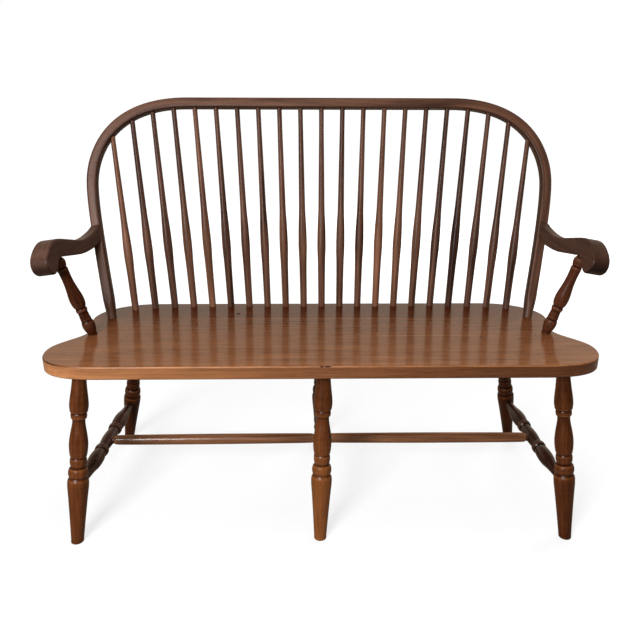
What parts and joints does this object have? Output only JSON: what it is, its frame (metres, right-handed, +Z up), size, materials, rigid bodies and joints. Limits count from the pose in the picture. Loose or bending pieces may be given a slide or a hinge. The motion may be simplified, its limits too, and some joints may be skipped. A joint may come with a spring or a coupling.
{
  "type": "deacons bench",
  "caption": "Long wooden bench with a plank seat, a bow back of fanned turned spindles, scroll arms on turned posts, and turned splayed legs joined by stretchers.",
  "frame": {"origin": "the middle of the bench's own box, at the floor", "axes": "+X along the bench, to the right of somebody who looks at its front; +Y towards its back; +Z up"},
  "size_m": [1.2992, 0.5718, 0.9548],
  "materials": {
    "seat": "satin",
    "legs": "satin",
    "cross_stretchers": "satin",
    "long_stretchers": "satin",
    "bow": "satin",
    "spindles": "satin",
    "arms": "satin",
    "arm_posts": "satin",
    "plugs": "satin",
    "screws": "satin"
  },
  "bodies": {
    "root": {"seat_board_front": "seat", "seat_board_middle": "seat", "seat_board_rear": "seat", "leg_front_left": "legs", "leg_front_middle": "legs", "leg_front_right": "legs", "leg_rear_left": "legs", "leg_rear_middle": "legs", "leg_rear_right": "legs", "cross_stretcher_left": "cross_stretchers", "cross_stretcher_middle": "cross_stretchers", "cross_stretcher_right": "cross_stretchers", "long_stretcher_left": "long_stretchers", "long_stretcher_right": "long_stretchers", "bow": "bow", "spindle_01": "spindles", "spindle_02": "spindles", "spindle_03": "spindles", "spindle_04": "spindles", "spindle_05": "spindles", "spindle_06": "spindles", "spindle_07": "spindles", "spindle_08": "spindles", "spindle_09": "spindles", "spindle_10": "spindles", "spindle_11": "spindles", "spindle_12": "spindles", "spindle_13": "spindles", "spindle_14": "spindles", "spindle_15": "spindles", "spindle_16": "spindles", "spindle_17": "spindles", "spindle_18": "spindles", "spindle_19": "spindles", "spindle_20": "spindles", "spindle_21": "spindles", "arm_left": "arms", "arm_post_left": "arm_posts", "arm_screw_left": "screws", "screw_plug_left": "plugs", "arm_right": "arms", "arm_post_right": "arm_posts", "arm_screw_right": "screws", "screw_plug_right": "plugs"}
  },
  "joints": []
}
